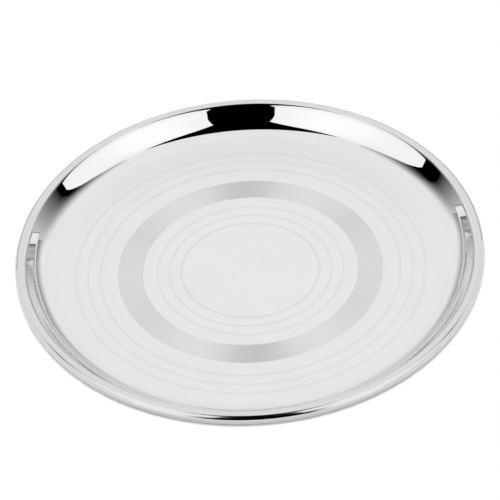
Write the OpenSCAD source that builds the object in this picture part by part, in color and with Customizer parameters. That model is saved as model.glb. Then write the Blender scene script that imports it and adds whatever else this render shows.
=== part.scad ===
// Thali plate: a pressed round plate with a leaning wall and an edge rolled over a wire.
// The origin is at the centre of the underside, with +Z up.

/* [Plate] */
// Outside diameter over the rolled edge
plate_d = 300; // [260:1:360]
// Height from the table to the top of the rolled edge
plate_h = 17.4; // [15:0.1:30]
// Thickness of the pressed sheet
sheet_t = 0.8; // [0.5:0.05:1.2]

/* [Wall] */
// Radius of the cove between the floor and the wall, on the inside of the plate
cove_r = 24; // [12:0.5:28]
// Lean of the wall outwards from upright, in degrees
wall_lean = 35.5; // [28:0.5:45]
// Radius of the shoulder between the wall and the rolled edge, on the upper face
shoulder_r = 6; // [4:0.1:9]
// Turn of the sheet round the shoulder, in degrees
shoulder_turn = 27.5; // [5:0.5:40]

/* [Rim] */
// Diameter of the wire inside the roll
wire_d = 6.1; // [2:0.1:8]
// Clearance between the wire and the sheet rolled round it
wire_fit = 0.05; // [0.02:0.01:0.2]
// Turn of the sheet round the wire, from the top of the shoulder, in degrees
roll_wrap = 270; // [200:5:285]

/* [Ring lines] */
// Number of ring lines in each of the two groups
ring_count = 3; // [1:1:4]
// Radius of the smallest ring line, next to the middle
inner_ring_r = 44.2; // [30:0.1:50]
// Spacing of the ring lines in the inner group
inner_ring_step = 7.7; // [4:0.1:10]
// Distance of the largest ring line from the edge of the flat floor
outer_ring_inset = 7.6; // [3:0.1:20]
// Spacing of the ring lines in the outer group
outer_ring_step = 7.9; // [4:0.1:10]
// Width of a ring line
ring_w = 0.6; // [0.3:0.1:1.2]
// Depth of a ring line
ring_depth = 0.1; // [0.05:0.05:0.2]

/* [Hidden] */
$fn = 180;
// Largest turn between two points of a bend, in degrees
bend_step = 5;

// The roll: its outside radius, its middle, and the angles where the shoulder meets it and where the sheet ends
roll_r = wire_d / 2 + wire_fit + sheet_t;
roll_mid = [plate_d / 2 - roll_r, plate_h - roll_r];
wall_turn = 180 - wall_lean;
roll_from = wall_turn - shoulder_turn;
roll_to = roll_from - roll_wrap;

// The shoulder runs smoothly into the roll, the wall down to the cove, and the cove to the flat floor
shoulder_mid = roll_mid + (roll_r - shoulder_r) * [cos(roll_from), sin(roll_from)];
wall_in = [cos(wall_turn), sin(wall_turn)];
wall_top = shoulder_mid + shoulder_r * wall_in;
wall_drop = wall_top[1] - sheet_t - cove_r * (1 - sin(wall_lean));
wall_foot = wall_top - wall_drop * [tan(wall_lean), 1];
cove_mid = wall_foot + cove_r * wall_in;
floor_r = cove_mid[0];

// A ring line is cut by a round-nosed tool
ring_tool_r = (pow(ring_w / 2, 2) + pow(ring_depth, 2)) / (2 * ring_depth);
ring_tool_z = sheet_t - ring_depth + ring_tool_r;
inner_rings = [for (i = [0 : ring_count - 1]) inner_ring_r + i * inner_ring_step];
outer_rings = [for (i = [0 : ring_count - 1]) floor_r - outer_ring_inset - i * outer_ring_step];

// Points round a bend, from one angle to another
function bend(mid, r, from, to) =
    let (steps = ceil(abs(to - from) / bend_step))
    [for (i = [0 : steps]) let (a = from + (to - from) * i / steps) mid + r * [cos(a), sin(a)]];

// The same without its first point, to follow on from another bend
function bend_on(mid, r, from, to) =
    let (points = bend(mid, r, from, to))
    [for (i = [1 : len(points) - 1]) points[i]];

// The upper face of the sheet from the middle to the cut edge in the roll, and the lower face back again
function sheet_outline() = concat(
    [[0, sheet_t]],
    bend(cove_mid, cove_r, -90, -wall_lean),
    bend(shoulder_mid, shoulder_r, wall_turn, roll_from),
    bend_on(roll_mid, roll_r, roll_from, roll_to),
    bend(roll_mid, roll_r - sheet_t, roll_to, roll_from),
    bend_on(shoulder_mid, shoulder_r - sheet_t, roll_from, wall_turn),
    bend(cove_mid, cove_r + sheet_t, -wall_lean, -90),
    [[0, 0]]
);

module dish() {
    color("silver")
        rotate_extrude()
            difference() {
                polygon(sheet_outline());
                for (r = concat(inner_rings, outer_rings))
                    translate([r, ring_tool_z])
                        circle(r = ring_tool_r);
            }
}

module rim_wire() {
    color("dimgray")
        rotate_extrude()
            translate(roll_mid)
                circle(d = wire_d);
}

dish();
rim_wire();
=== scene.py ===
import math

import bpy
from mathutils import Matrix, Vector


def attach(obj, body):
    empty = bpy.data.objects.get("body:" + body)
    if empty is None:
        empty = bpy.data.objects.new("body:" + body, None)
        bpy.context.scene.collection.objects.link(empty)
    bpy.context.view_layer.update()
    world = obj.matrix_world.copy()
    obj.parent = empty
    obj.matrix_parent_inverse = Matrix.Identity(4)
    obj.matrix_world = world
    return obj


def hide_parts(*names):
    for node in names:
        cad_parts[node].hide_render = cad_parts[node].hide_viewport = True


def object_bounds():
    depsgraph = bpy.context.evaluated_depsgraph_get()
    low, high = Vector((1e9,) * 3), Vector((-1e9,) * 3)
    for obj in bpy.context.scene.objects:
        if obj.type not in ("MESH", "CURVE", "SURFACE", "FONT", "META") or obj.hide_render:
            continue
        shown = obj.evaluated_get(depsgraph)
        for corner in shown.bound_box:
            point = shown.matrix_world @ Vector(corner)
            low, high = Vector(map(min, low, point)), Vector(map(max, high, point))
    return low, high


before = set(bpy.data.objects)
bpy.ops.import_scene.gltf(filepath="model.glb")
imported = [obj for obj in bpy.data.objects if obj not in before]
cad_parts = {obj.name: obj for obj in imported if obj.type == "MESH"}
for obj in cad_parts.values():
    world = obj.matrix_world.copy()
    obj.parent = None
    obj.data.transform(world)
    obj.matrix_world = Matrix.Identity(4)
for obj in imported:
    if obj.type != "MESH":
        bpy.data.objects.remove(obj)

cadLow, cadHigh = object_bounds()


# small helpers

def deselectAll():
    if bpy.context.object and bpy.context.object.mode != "OBJECT":
        bpy.ops.object.mode_set(mode="OBJECT")
    bpy.ops.object.select_all(action="DESELECT")


def newMaterial(name):
    made = bpy.data.materials.new(name)
    made.use_nodes = True
    made.node_tree.nodes.clear()
    return made, made.node_tree


def addNode(tree, kind, **sockets):
    made = tree.nodes.new(kind)
    for name, value in sockets.items():
        made.inputs[name].default_value = value
    return made


def finishWith(tree, shader):
    out = tree.nodes.new("ShaderNodeOutputMaterial")
    tree.links.new(shader.outputs[0], out.inputs["Surface"])


def feed(tree, value, socket):
    # a number is set on the socket, and anything else is linked to it
    if isinstance(value, (int, float)):
        socket.default_value = value
    else:
        tree.links.new(value, socket)


def maths(tree, operation, *values):
    made = tree.nodes.new("ShaderNodeMath")
    made.operation = operation
    for value, socket in zip(values, made.inputs):
        feed(tree, value, socket)
    return made.outputs[0]


def spread(tree, value, low, high, first, last, smooth=False):
    # turns what runs from low to high into what runs from first to last
    made = tree.nodes.new("ShaderNodeMapRange")
    if smooth:
        made.interpolation_type = "SMOOTHSTEP"
    names = ("Value", "From Min", "From Max", "To Min", "To Max")
    for name, number in zip(names, (value, low, high, first, last)):
        feed(tree, number, made.inputs[name])
    return made.outputs[0]


def places(tree):
    coords = tree.nodes.new("ShaderNodeTexCoord").outputs["Object"]
    apart = tree.nodes.new("ShaderNodeSeparateXYZ")
    tree.links.new(coords, apart.inputs[0])
    return {"all": coords, "X": apart.outputs["X"], "Y": apart.outputs["Y"], "Z": apart.outputs["Z"]}


def noise(tree, vector, scale, detail):
    made = addNode(tree, "ShaderNodeTexNoise", Scale=scale, Detail=detail, Roughness=0.6)
    tree.links.new(vector, made.inputs["Vector"])
    return made.outputs["Fac"]


lineLevels = (0.25, 0.75)          # between these lies most of the noise that makes fine lines
cloudLevels = (0.3, 0.7)           # and of the noise that makes clouds


# the camera, as the photograph sees the plate

camera = {
    "lens": 303.5,                 # millimetres, as the sensor is
    "sensor": 36,
    "distance": 2.698,             # to the middle of the plate's floor
    "elevation": math.radians(42.825),
    "roll": math.radians(-3.668),  # the plate's right side stands higher in the picture
    "aside": -0.00056,             # the plate's middle, right of the picture's
    "below": 0.01265,              # and below it
    "clipEnd": 100,
}


def makeCamera():
    pitch = Matrix.Rotation(math.pi / 2 - camera["elevation"], 4, "X")
    middle = Vector((0, 0, dish["sheet"]))
    place = middle + pitch @ Vector((-camera["aside"], camera["below"], camera["distance"]))
    turn = pitch @ Matrix.Rotation(camera["roll"], 4, "Z")
    bpy.ops.object.camera_add(location=place, rotation=turn.to_euler())
    made = bpy.context.object
    made.name = "camera"
    made.data.sensor_width = camera["sensor"]
    made.data.lens = camera["lens"]
    made.data.clip_end = camera["clipEnd"]
    bpy.context.scene.camera = made


# the dish: one pressed sheet, spun from its outline

dish = {
    "radius": min(cadHigh.x, cadHigh.y, -cadLow.x, -cadLow.y),
    "height": cadHigh.z,
    "sheet": 0.0008,
    "cove": 0.024,                 # radius of the bend from floor to wall
    "lean": math.radians(35.5),    # of the wall, from upright
    "shoulder": 0.006,             # radius of the bend from wall to rolled edge
    "shoulderTurn": math.radians(27.5),
    "roll": 0.0039,                # outside radius of the rolled edge
    "rollWrap": math.radians(270),
    "innerRings": (0.0442, 0.0519, 0.0596),
    "outerRings": (0.0962, 0.1041, 0.1120),
    "ringWidth": 0.0006,
    "ringDepth": 0.0001,
    "ringSteps": 6,
    "ringGuard": 0.0002,           # flat kept beside a ring line, so that its shading stays in it
    "bandInner": 0.0688,
    "bandOuter": 0.0850,
    "bendStep": math.radians(3),
    "turns": 320,
    "mergeWithin": 1e-6,           # closes the seam and the poles of the spin
    "smoothWithin": math.radians(40),
}


def arc(mid, radius, start, end):
    steps = math.ceil(abs(end - start) / dish["bendStep"])
    angles = [start + (end - start) * i / steps for i in range(steps + 1)]
    return [mid + radius * Vector((math.cos(a), math.sin(a))) for a in angles]


def ringLine(radius):
    # the cut of a round-nosed tool, with a little flat on both sides
    half, depth, guard = dish["ringWidth"] / 2, dish["ringDepth"], dish["ringGuard"]
    tool = (half ** 2 + depth ** 2) / (2 * depth)
    lift = dish["sheet"] - depth + tool
    across = [half * (2 * i / dish["ringSteps"] - 1) for i in range(dish["ringSteps"] + 1)]
    line = [Vector((radius + x, lift - math.sqrt(tool ** 2 - x ** 2))) for x in across]
    before = Vector((radius - half - guard, dish["sheet"]))
    after = Vector((radius + half + guard, dish["sheet"]))
    return [before] + line + [after]


def dishOutline():
    sheet, cove, lean = dish["sheet"], dish["cove"], dish["lean"]
    roll, shoulder = dish["roll"], dish["shoulder"]
    down, wallTurn = -math.pi / 2, math.pi - lean
    rollStart = wallTurn - dish["shoulderTurn"]
    rollEnd = rollStart - dish["rollWrap"]
    rollMid = Vector((dish["radius"] - roll, dish["height"] - roll))
    shoulderMid = rollMid + (roll - shoulder) * Vector((math.cos(rollStart), math.sin(rollStart)))
    wallIn = Vector((math.cos(wallTurn), math.sin(wallTurn)))
    wallTop = shoulderMid + shoulder * wallIn
    drop = wallTop.y - sheet - cove * (1 - math.sin(lean))
    wallFoot = wallTop - drop * Vector((math.tan(lean), 1))
    coveMid = wallFoot + cove * wallIn

    # the upper face from the middle to the cut edge in the roll, and the lower face back again
    points = [Vector((0, sheet))]
    for radius in dish["innerRings"]:
        points += ringLine(radius)
    points += [Vector((dish[edge], sheet)) for edge in ("bandInner", "bandOuter")]
    for radius in dish["outerRings"]:
        points += ringLine(radius)
    points += arc(coveMid, cove, down, -lean)
    points += arc(shoulderMid, shoulder, wallTurn, rollStart)
    points += arc(rollMid, roll, rollStart, rollEnd)[1:]
    points += arc(rollMid, roll - sheet, rollEnd, rollStart)
    points += arc(shoulderMid, shoulder - sheet, rollStart, wallTurn)[1:]
    points += arc(coveMid, cove + sheet, -lean, down)
    points += [Vector((0, 0))]
    return points


def makeDish():
    deselectAll()
    bpy.ops.mesh.primitive_plane_add(size=dish["sheet"])
    made = bpy.context.object
    made.name = "dish_sheet"
    bpy.ops.object.mode_set(mode="EDIT")
    bpy.ops.mesh.merge(type="CENTER")   # to one point, which is then drawn out along the outline
    last = Vector((0, 0))
    for i, point in enumerate(dishOutline()):
        step = (point.x - last.x, 0, point.y - last.y)
        if i == 0:
            bpy.ops.transform.translate(value=step)
        else:
            bpy.ops.mesh.extrude_region_move(TRANSFORM_OT_translate={"value": step})
        last = point
    bpy.ops.mesh.select_all(action="SELECT")
    bpy.ops.mesh.spin(steps=dish["turns"], angle=2 * math.pi, center=(0, 0, 0), axis=(0, 0, 1))
    bpy.ops.mesh.select_all(action="SELECT")
    bpy.ops.mesh.remove_doubles(threshold=dish["mergeWithin"])
    bpy.ops.mesh.normals_make_consistent(inside=False)
    bpy.ops.object.mode_set(mode="OBJECT")
    bpy.ops.object.shade_smooth_by_angle(angle=dish["smoothWithin"])
    return made


# finishes of the sheet: satin floor with painted shade along its ring lines, brushed band, polished wall and
# edge, dull underside darkened further as painted shade
# tones and roughnesses in pairs are the lowest and the highest, and places are distances from the axis

steel = {
    "middleTone": 0.832,
    "floorTone": 0.812,            # at the edge of the floor
    "floorEdge": 0.118,
    "satinRoughs": (0.36, 0.44),
    "grazeRough": 0.05,            # of the satin seen at a grazing angle, where it shines
    "grazeStarts": 0.70,           # one less the cosine of that angle from the normal
    "grazeFull": 0.88,
    "lathePitch": 0.0004,          # of the fine turned lines in the satin
    "latheDetail": 3.0,
    "latheShares": (0.97, 1.03),
    "middleGuard": 1e-4,           # keeps the lines from a division by nothing in the middle
    "cloudScale": 30.0,
    "cloudDetail": 3.0,
    "cloudShares": (0.988, 1.012),
    # painted shade along the ring lines, from the smallest, as shares of the floor's tone
    "lineShadeTones": (0.912, 0.937, 0.942, 0.942, 0.958, 0.952),
    "lineShadeReach": 0.0018,           # how far from a ring line its painted shade reaches
    "satinEnds": 0.1259,           # the polish of the wall starts in the cove
    "polishStarts": 0.1301,
    "coveTone": 0.775,             # of the polish, which is lightest on the wall
    "wallTone": 0.84,
    "edgeTone": 0.70,              # and darkest on the rolled edge
    "coveEnds": 0.132,
    "wallStarts": 0.136,
    "edgeStarts": 0.1415,
    "edgeFull": 0.1445,
    "polishShares": (0.99, 1.01),
    "polishRough": 0.02,
    "polishRoughShares": (0.7, 1.3),
    "edgeRough": 0.10,             # of the rolled edge, which is less polished than the wall
    "edgeRoughStarts": 0.1445,
    "edgeRoughFull": 0.1462,
    "edgeDullShadeAt": 0.1461,          # the outer half of the rolled edge dulls downwards between two heights, and darkens there as painted shade
    "edgeDullShadeStarts": 0.0149,
    "edgeDullShadeFull": 0.0133,
    "bandTones": (0.8439, 0.8961),
    "bandRoughs": (0.46, 0.54),
    "bandGrain": 0.92,
    "bandGrainTurn": 0.25,         # of a full turn, so that the grain runs round the plate
    # the dull underside's own tone, set darker still as painted shade for the lower edge of the roll
    "underToneAndShade": 0.52,
    "underPale": 0.5408,           # its palest clouds
    "underRough": 0.40,
    "underRoughs": (0.36, 0.46),
    "underLatheShares": (0.94, 1.06),
    "underCloudScale": 25.0,
    "underCloudDetail": 4.0,
    "floorTurn": 0.9,              # height of the normal above which a face is floor
    "underTurn": -0.05,            # and below which the sheet keeps its dull side
}


def newMetal(name, **sockets):
    material, tree = newMaterial(name)
    return material, tree, addNode(tree, "ShaderNodeBsdfPrincipled", Metallic=1.0, **sockets)


def finishMetal(tree, shader, tone, rough):
    tree.links.new(tone, shader.inputs["Base Color"])
    tree.links.new(rough, shader.inputs["Roughness"])
    finishWith(tree, shader)


def radiusOf(tree, at):
    squares = [maths(tree, "POWER", at[axis], 2) for axis in "XY"]
    return maths(tree, "SQRT", maths(tree, "ADD", *squares))


def latheLines(tree, at, radius):
    # fine lines that run round the plate, each fading in and out along its length
    ring = tree.nodes.new("ShaderNodeCombineXYZ")
    guarded = maths(tree, "ADD", radius, steel["middleGuard"])
    for axis in "XY":
        tree.links.new(maths(tree, "DIVIDE", at[axis], guarded), ring.inputs[axis])
    tree.links.new(maths(tree, "DIVIDE", radius, steel["lathePitch"]), ring.inputs["Z"])
    return noise(tree, ring.outputs[0], scale=1, detail=steel["latheDetail"])


# painted shade: the floor's tone darkens round each ring groove
def ringShade(tree, radius):
    tone = 1
    for ring, share in zip(dish["innerRings"] + dish["outerRings"], steel["lineShadeTones"]):
        away = maths(tree, "ABSOLUTE", maths(tree, "SUBTRACT", radius, ring))
        loss = spread(tree, away, 0, steel["lineShadeReach"], 1 - share, 0, smooth=True)
        tone = maths(tree, "SUBTRACT", tone, loss)
    return tone


def worked(tree, tone, lines, lineShares, clouds):
    # a tone with the turned lines and faint clouds in it
    lathe = spread(tree, lines, *lineLevels, *lineShares)
    cloud = spread(tree, clouds, *cloudLevels, *steel["cloudShares"])
    return maths(tree, "MULTIPLY", maths(tree, "MULTIPLY", tone, lathe), cloud)


def satinLook(tree, radius, lines, clouds):
    tone = spread(tree, radius, 0, steel["floorEdge"], steel["middleTone"], steel["floorTone"])
    tone = maths(tree, "MULTIPLY", tone, ringShade(tree, radius))
    tone = worked(tree, tone, lines, steel["latheShares"], clouds)
    rough = spread(tree, lines, *lineLevels, *steel["satinRoughs"])
    graze = addNode(tree, "ShaderNodeLayerWeight", Blend=0.5).outputs["Facing"]
    rough = spread(tree, graze, steel["grazeStarts"], steel["grazeFull"],
                   rough, steel["grazeRough"], smooth=True)
    return tone, rough


def polishLook(tree, at, radius, clouds):
    # over the wall and the rolled edge, down to where the outside of that edge is as dull as the underside
    # and darkened with it as painted shade
    tone = spread(tree, radius, steel["coveEnds"], steel["wallStarts"], steel["coveTone"], steel["wallTone"])
    tone = spread(tree, radius, steel["edgeStarts"], steel["edgeFull"], tone, steel["edgeTone"])
    tone = maths(tree, "MULTIPLY", tone, spread(tree, clouds, *cloudLevels, *steel["polishShares"]))
    rough = spread(tree, radius, steel["edgeRoughStarts"], steel["edgeRoughFull"],
                   steel["polishRough"], steel["edgeRough"], smooth=True)
    uneven = spread(tree, clouds, *cloudLevels, *steel["polishRoughShares"])
    rough = maths(tree, "MULTIPLY", rough, uneven)
    # painted shade: the lower outside of the rolled edge takes the underside's darker tone, along with its
    # duller roughness
    dull = spread(tree, at["Z"], steel["edgeDullShadeStarts"], steel["edgeDullShadeFull"], 0, 1, smooth=True)
    dull = maths(tree, "MULTIPLY", dull, maths(tree, "GREATER_THAN", radius, steel["edgeDullShadeAt"]))
    tone = spread(tree, dull, 0, 1, tone, steel["underToneAndShade"])
    rough = spread(tree, dull, 0, 1, rough, steel["underRough"])
    return tone, rough


# the sheet's finish, with painted shade along the ring lines and on the lower outside of the rolled edge
def sheetFinishAndShade():
    material, tree, shader = newMetal("sheet_finish_and_shade")
    at = places(tree)
    radius = radiusOf(tree, at)
    clouds = noise(tree, at["all"], steel["cloudScale"], steel["cloudDetail"])
    satin = satinLook(tree, radius, latheLines(tree, at, radius), clouds)
    polish = polishLook(tree, at, radius, clouds)
    polished = spread(tree, radius, steel["satinEnds"], steel["polishStarts"], 0, 1, smooth=True)
    tone, rough = [spread(tree, polished, 0, 1, *looks) for looks in zip(satin, polish)]
    finishMetal(tree, shader, tone, rough)
    return material


def bandFinish():
    material, tree, shader = newMetal("band_finish", Anisotropic=steel["bandGrain"])
    shader.inputs["Anisotropic Rotation"].default_value = steel["bandGrainTurn"]
    tangent = tree.nodes.new("ShaderNodeTangent")
    tangent.direction_type = "RADIAL"
    tangent.axis = "Z"
    tree.links.new(tangent.outputs[0], shader.inputs["Tangent"])
    at = places(tree)
    lines = latheLines(tree, at, radiusOf(tree, at))
    tone = spread(tree, lines, *lineLevels, *steel["bandTones"])
    rough = spread(tree, lines, *lineLevels, *steel["bandRoughs"])
    finishMetal(tree, shader, tone, rough)
    return material


def underFinishAndShade():
    material, tree, shader = newMetal("underside_finish_and_shade")
    at = places(tree)
    lines = latheLines(tree, at, radiusOf(tree, at))
    clouds = noise(tree, at["all"], steel["underCloudScale"], steel["underCloudDetail"])
    # the underside's tone is its dull finish, darkened further as painted shade
    tone = spread(tree, clouds, *cloudLevels, steel["underToneAndShade"], steel["underPale"])
    tone = worked(tree, tone, lines, steel["underLatheShares"], clouds)
    rough = spread(tree, clouds, *cloudLevels, *steel["underRoughs"])
    finishMetal(tree, shader, tone, rough)
    return material


def dressDish(made):
    for finish in (sheetFinishAndShade, bandFinish, underFinishAndShade):
        made.data.materials.append(finish())
    bandSlot, underSlot = 1, 2
    for face in made.data.polygons:
        radius = math.hypot(face.center.x, face.center.y)
        if face.normal.z > steel["floorTurn"] and dish["bandInner"] < radius < dish["bandOuter"]:
            face.material_index = bandSlot
        if face.normal.z < steel["underTurn"]:
            face.material_index = underSlot


# the wire in the rolled edge, which shows only from below

wire = {
    "tones": (0.5456, 0.6696),
    "roughs": (0.357, 0.483),
    "drawnLines": 1400.0,          # scale of the lines left by drawing, which run along the wire
    "drawnDetail": 2.0,
    "dullScale": 60.0,             # of the dull clouds on it
    "dullDetail": 3.0,
    "dullShares": (0.94, 1.03),
}


def wireFinish():
    material, tree, shader = newMetal("wire_finish")
    at = places(tree)
    across = tree.nodes.new("ShaderNodeCombineXYZ")
    tree.links.new(radiusOf(tree, at), across.inputs["X"])
    tree.links.new(at["Z"], across.inputs["Z"])
    drawn = noise(tree, across.outputs[0], wire["drawnLines"], wire["drawnDetail"])
    dull = noise(tree, at["all"], wire["dullScale"], wire["dullDetail"])
    tone = spread(tree, drawn, *lineLevels, *wire["tones"])
    tone = maths(tree, "MULTIPLY", tone, spread(tree, dull, *cloudLevels, *wire["dullShares"]))
    rough = spread(tree, dull, *cloudLevels, *wire["roughs"])
    finishMetal(tree, shader, tone, rough)
    return material


# the stage: a pale floor with its own lamp, a dark room in front and a white one behind,
# and on each side a soft box, a drape, a low dark strip and a low white card
# a side is -1 on the left and 1 on the right, and a card's turn is its direction, aside from the camera's

cardBlack = (0.001, 0.001, 0.001, 1)
white = (1, 1, 1, 1)


def reflectOnly(made):
    made.visible_camera = False
    made.visible_diffuse = False
    made.visible_transmission = False
    made.visible_shadow = False


def sideName(kind, side):
    return kind + ("_left" if side < 0 else "_right")


def standCard(name, start, end, height, turn, away, cuts=0):
    # upright on the floor, turned round the plate's middle and set away from it
    deselectAll()
    bpy.ops.mesh.primitive_plane_add(size=1)
    card = bpy.context.object
    card.name = name
    bpy.ops.object.mode_set(mode="EDIT")
    if cuts:
        bpy.ops.mesh.subdivide(number_cuts=cuts)
    bpy.ops.transform.resize(value=(end - start, height, 1))
    bpy.ops.transform.translate(value=((start + end) / 2, height / 2, 0))
    bpy.ops.object.mode_set(mode="OBJECT")
    card.rotation_euler = (math.pi / 2, 0, turn)
    card.location = (away * math.sin(turn), -away * math.cos(turn), 0)
    return card


def endsOf(inner, outer, side):
    return sorted((side * inner, side * outer))


def rayGate(tree):
    # 1 for what is looked at, straight or by way of metal or glass, and 0 for the light on other things
    path = tree.nodes.new("ShaderNodeLightPath")
    mirrored = maths(tree, "MAXIMUM", path.outputs["Is Glossy Ray"], path.outputs["Is Transmission Ray"])
    return maths(tree, "MAXIMUM", path.outputs["Is Camera Ray"], mirrored)


floorSet = {
    "size": 20.0,
    "colour": (0.8, 0.8, 0.8, 1),
    "lift": 0.08,                  # glow that brings the lit floor up to white
}


def makeFloor():
    deselectAll()
    bpy.ops.mesh.primitive_plane_add(size=floorSet["size"])
    floor = bpy.context.object
    floor.name = "floor"
    material, tree = newMaterial("floor_white")
    cover = addNode(tree, "ShaderNodeBsdfDiffuse", Color=floorSet["colour"])
    lift = tree.nodes.new("ShaderNodeEmission")
    tree.links.new(maths(tree, "MULTIPLY", rayGate(tree), floorSet["lift"]), lift.inputs["Strength"])
    both = tree.nodes.new("ShaderNodeAddShader")
    tree.links.new(cover.outputs[0], both.inputs[0])
    tree.links.new(lift.outputs[0], both.inputs[1])
    finishWith(tree, both)
    floor.data.materials.append(material)


frontLamp = {
    "place": (0, -3, 3),
    "height": math.radians(50),    # of its direction, above the floor
    "strength": 4.05,
    "spreadAngle": math.radians(11),
}


def makeFrontLamp():
    # lights only the floor, from the camera's side, so that most of the plate's shadow falls behind it
    deselectAll()
    turn = (math.pi / 2 - frontLamp["height"], 0, 0)
    bpy.ops.object.light_add(type="SUN", location=frontLamp["place"], rotation=turn)
    lamp = bpy.context.object
    lamp.name = "front_lamp"
    lamp.data.energy = frontLamp["strength"]
    lamp.data.angle = frontLamp["spreadAngle"]
    lamp.visible_glossy = False


darkCard = {"away": 0.80, "height": 3.99, "width": 24.0}


def makeDarkCard():
    half = darkCard["width"] / 2
    card = standCard("dark_room", -half, half, darkCard["height"], 0, darkCard["away"])
    material, tree = newMaterial("card_black")
    finishWith(tree, addNode(tree, "ShaderNodeBsdfDiffuse", Color=cardBlack))
    card.data.materials.append(material)
    reflectOnly(card)


softBox = {
    "turn": math.radians(40),
    "away": 0.71,
    "inner": {-1: -0.28, 1: -0.29},   # ends of the box, along it, for the left and the right one
    "outer": 1.165,
    "height": 1.51,
    "cuts": 31,
    "innerDrop": 0.285,            # share of the height lost at the ends, where the top curves down
    "outerDrop": 0.384,
    "dropPower": 3,
    "outerInset": 0.12,            # the outer end leans in by this much at the top
    "insetPower": 4,
    "light": 1.17,
    "innerLoss": 0.08,             # shares of the light lost towards the ends
    "outerLoss": 0.09,
    "innerFade": (0.45, 1),        # where it is lost, in half lengths from the middle to the inner end
    "outerFade": (0.35, -0.4),
    "cornerWidth": 0.16,           # the inner lower corner fades out over this width
    "cornerStarts": 0.42,          # below this height
    "cornerFull": 0.25,
}


def makeSoftBox(side):
    name = sideName("soft_box", side)
    start, end = endsOf(softBox["inner"][side], softBox["outer"], side)
    turn, height = side * softBox["turn"], softBox["height"]
    box = standCard(name, start, end, height, turn, softBox["away"], softBox["cuts"])
    middle, half = (start + end) / 2, (end - start) / 2
    for corner in box.data.vertices:
        out = side * (corner.co.x - middle) / half
        drop = softBox["outerDrop"] if out > 0 else softBox["innerDrop"]
        corner.co.y *= 1 - drop * abs(out) ** softBox["dropPower"]
        inset = softBox["outerInset"] * max(out, 0) ** softBox["insetPower"]
        corner.co.x -= side * inset * corner.co.y / height
    material, tree = newMaterial(name + "_light")
    glow = tree.nodes.new("ShaderNodeEmission")
    at = places(tree)
    inward = maths(tree, "DIVIDE", maths(tree, "SUBTRACT", at["X"], middle), -side * half)
    innerShare = spread(tree, inward, *softBox["innerFade"], 1, 1 - softBox["innerLoss"], smooth=True)
    outerShare = spread(tree, inward, *softBox["outerFade"], 1, 1 - softBox["outerLoss"], smooth=True)
    level = maths(tree, "MULTIPLY", maths(tree, "MULTIPLY", innerShare, outerShare), softBox["light"])
    low = spread(tree, at["Y"], softBox["cornerStarts"], softBox["cornerFull"], 0, 1, smooth=True)
    aside = spread(tree, inward, 1 - softBox["cornerWidth"] / half, 1, 0, 1, smooth=True)
    kept = maths(tree, "SUBTRACT", 1, maths(tree, "MULTIPLY", low, aside))
    tree.links.new(maths(tree, "MULTIPLY", level, kept), glow.inputs["Strength"])
    finishWith(tree, glow)
    box.data.materials.append(material)
    reflectOnly(box)


def hangCloth(card, material, tree, darkness):
    # black cloth where the darkness is 1, and nothing where it is 0
    cloth = addNode(tree, "ShaderNodeBsdfDiffuse", Color=cardBlack)
    clear = tree.nodes.new("ShaderNodeBsdfTransparent")
    mix = tree.nodes.new("ShaderNodeMixShader")
    tree.links.new(darkness, mix.inputs[0])
    tree.links.new(clear.outputs[0], mix.inputs[1])
    tree.links.new(cloth.outputs[0], mix.inputs[2])
    finishWith(tree, mix)
    card.data.materials.append(material)
    reflectOnly(card)


sideDrape = {
    "turn": math.radians(108),
    "away": 1.55,
    "inner": -0.67,
    "outer": 0.80,
    "height": 2.7,
    "solidTo": {-1: -0.02, 1: -0.18},   # fully dark up to here, on the left and on the right
    "fadeLow": (1.09, -0.02),      # heights where the fade upwards starts, at the inner and outer edges
    "fadeHigh": (3.4, 0.9),        # and where it ends
}


def makeSideDrape(side):
    name = sideName("drape", side)
    inner, outer = sideDrape["inner"], sideDrape["outer"]
    start, end = endsOf(inner, outer, side)
    drape = standCard(name, start, end, sideDrape["height"], side * sideDrape["turn"], sideDrape["away"])
    material, tree = newMaterial(name + "_cloth")
    at = places(tree)
    outward = maths(tree, "MULTIPLY", at["X"], side)
    across = spread(tree, outward, sideDrape["solidTo"][side], outer, 1, 0)
    fadeLow = spread(tree, outward, inner, outer, *sideDrape["fadeLow"])
    fadeHigh = spread(tree, outward, inner, outer, *sideDrape["fadeHigh"])
    up = spread(tree, at["Y"], fadeLow, fadeHigh, 1, 0, smooth=True)
    hangCloth(drape, material, tree, maths(tree, "MULTIPLY", across, up))


lowStrip = {
    "turn": math.radians(150),
    "away": 1.70,
    "inner": -0.80,
    "outer": 0.80,
    "dark": {-1: 0.55, 1: 0.62},   # of the left and the right one
    "backLoss": 0.65,              # share of the darkness lost at the end towards the back
    "fadeLow": 0.11,               # heights between which it fades
    "fadeHigh": 0.68,
}


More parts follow.
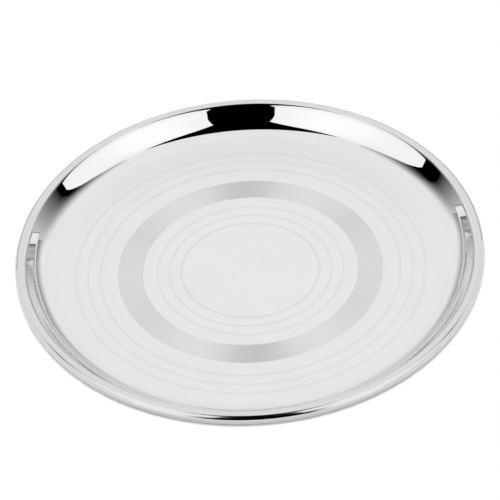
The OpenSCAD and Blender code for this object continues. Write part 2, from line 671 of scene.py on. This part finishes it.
def makeLowStrip(side):
    name = sideName("low_strip", side)
    start, end = endsOf(lowStrip["inner"], lowStrip["outer"], side)
    strip = standCard(name, start, end, lowStrip["fadeHigh"], side * lowStrip["turn"], lowStrip["away"])
    material, tree = newMaterial(name + "_cloth")
    at = places(tree)
    dark = lowStrip["dark"][side]
    outward = maths(tree, "MULTIPLY", at["X"], side)
    across = spread(tree, outward, 0, lowStrip["outer"], dark, dark * (1 - lowStrip["backLoss"]))
    up = spread(tree, at["Y"], lowStrip["fadeLow"], lowStrip["fadeHigh"], 1, 0, smooth=True)
    hangCloth(strip, material, tree, maths(tree, "MULTIPLY", across, up))


lowCard = {
    "turn": math.radians(90),
    "away": 0.18,
    "inner": -0.20,
    "outer": 0.03,
    "height": 0.055,
    "light": 0.95,
}


def makeLowCard(side):
    # keeps the drape out of the outside of the rolled edge
    name = sideName("low_card", side)
    start, end = endsOf(lowCard["inner"], lowCard["outer"], side)
    card = standCard(name, start, end, lowCard["height"], side * lowCard["turn"], lowCard["away"])
    material, tree = newMaterial(name + "_white")
    finishWith(tree, addNode(tree, "ShaderNodeEmission", Strength=lowCard["light"]))
    card.data.materials.append(material)
    reflectOnly(card)


studio = {
    "seen": 1.0,                   # the white that the camera sees and the steel mirrors
    "onFloor": 0.2,                # what it lights the floor with
}


def makeWorld():
    world = bpy.data.worlds.new("studio")
    bpy.context.scene.world = world
    world.use_nodes = True
    tree = world.node_tree
    back = tree.nodes["Background"]
    back.inputs["Color"].default_value = white
    level = spread(tree, rayGate(tree), 0, 1, studio["onFloor"], studio["seen"])
    tree.links.new(level, back.inputs["Strength"])


makeCamera()
print("camera made")
plate = makeDish()
dressDish(plate)
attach(plate, "root")
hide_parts("dish")
print("dish made,", len(plate.data.polygons), "faces")
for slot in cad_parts["rim_wire"].material_slots:
    slot.material = wireFinish()
print("wire finished")
makeFloor()
makeFrontLamp()
makeDarkCard()
for side in (-1, 1):
    makeSoftBox(side)
    makeSideDrape(side)
    makeLowStrip(side)
    makeLowCard(side)
makeWorld()
bpy.context.scene.view_settings.view_transform = "Standard"
print("stage made")
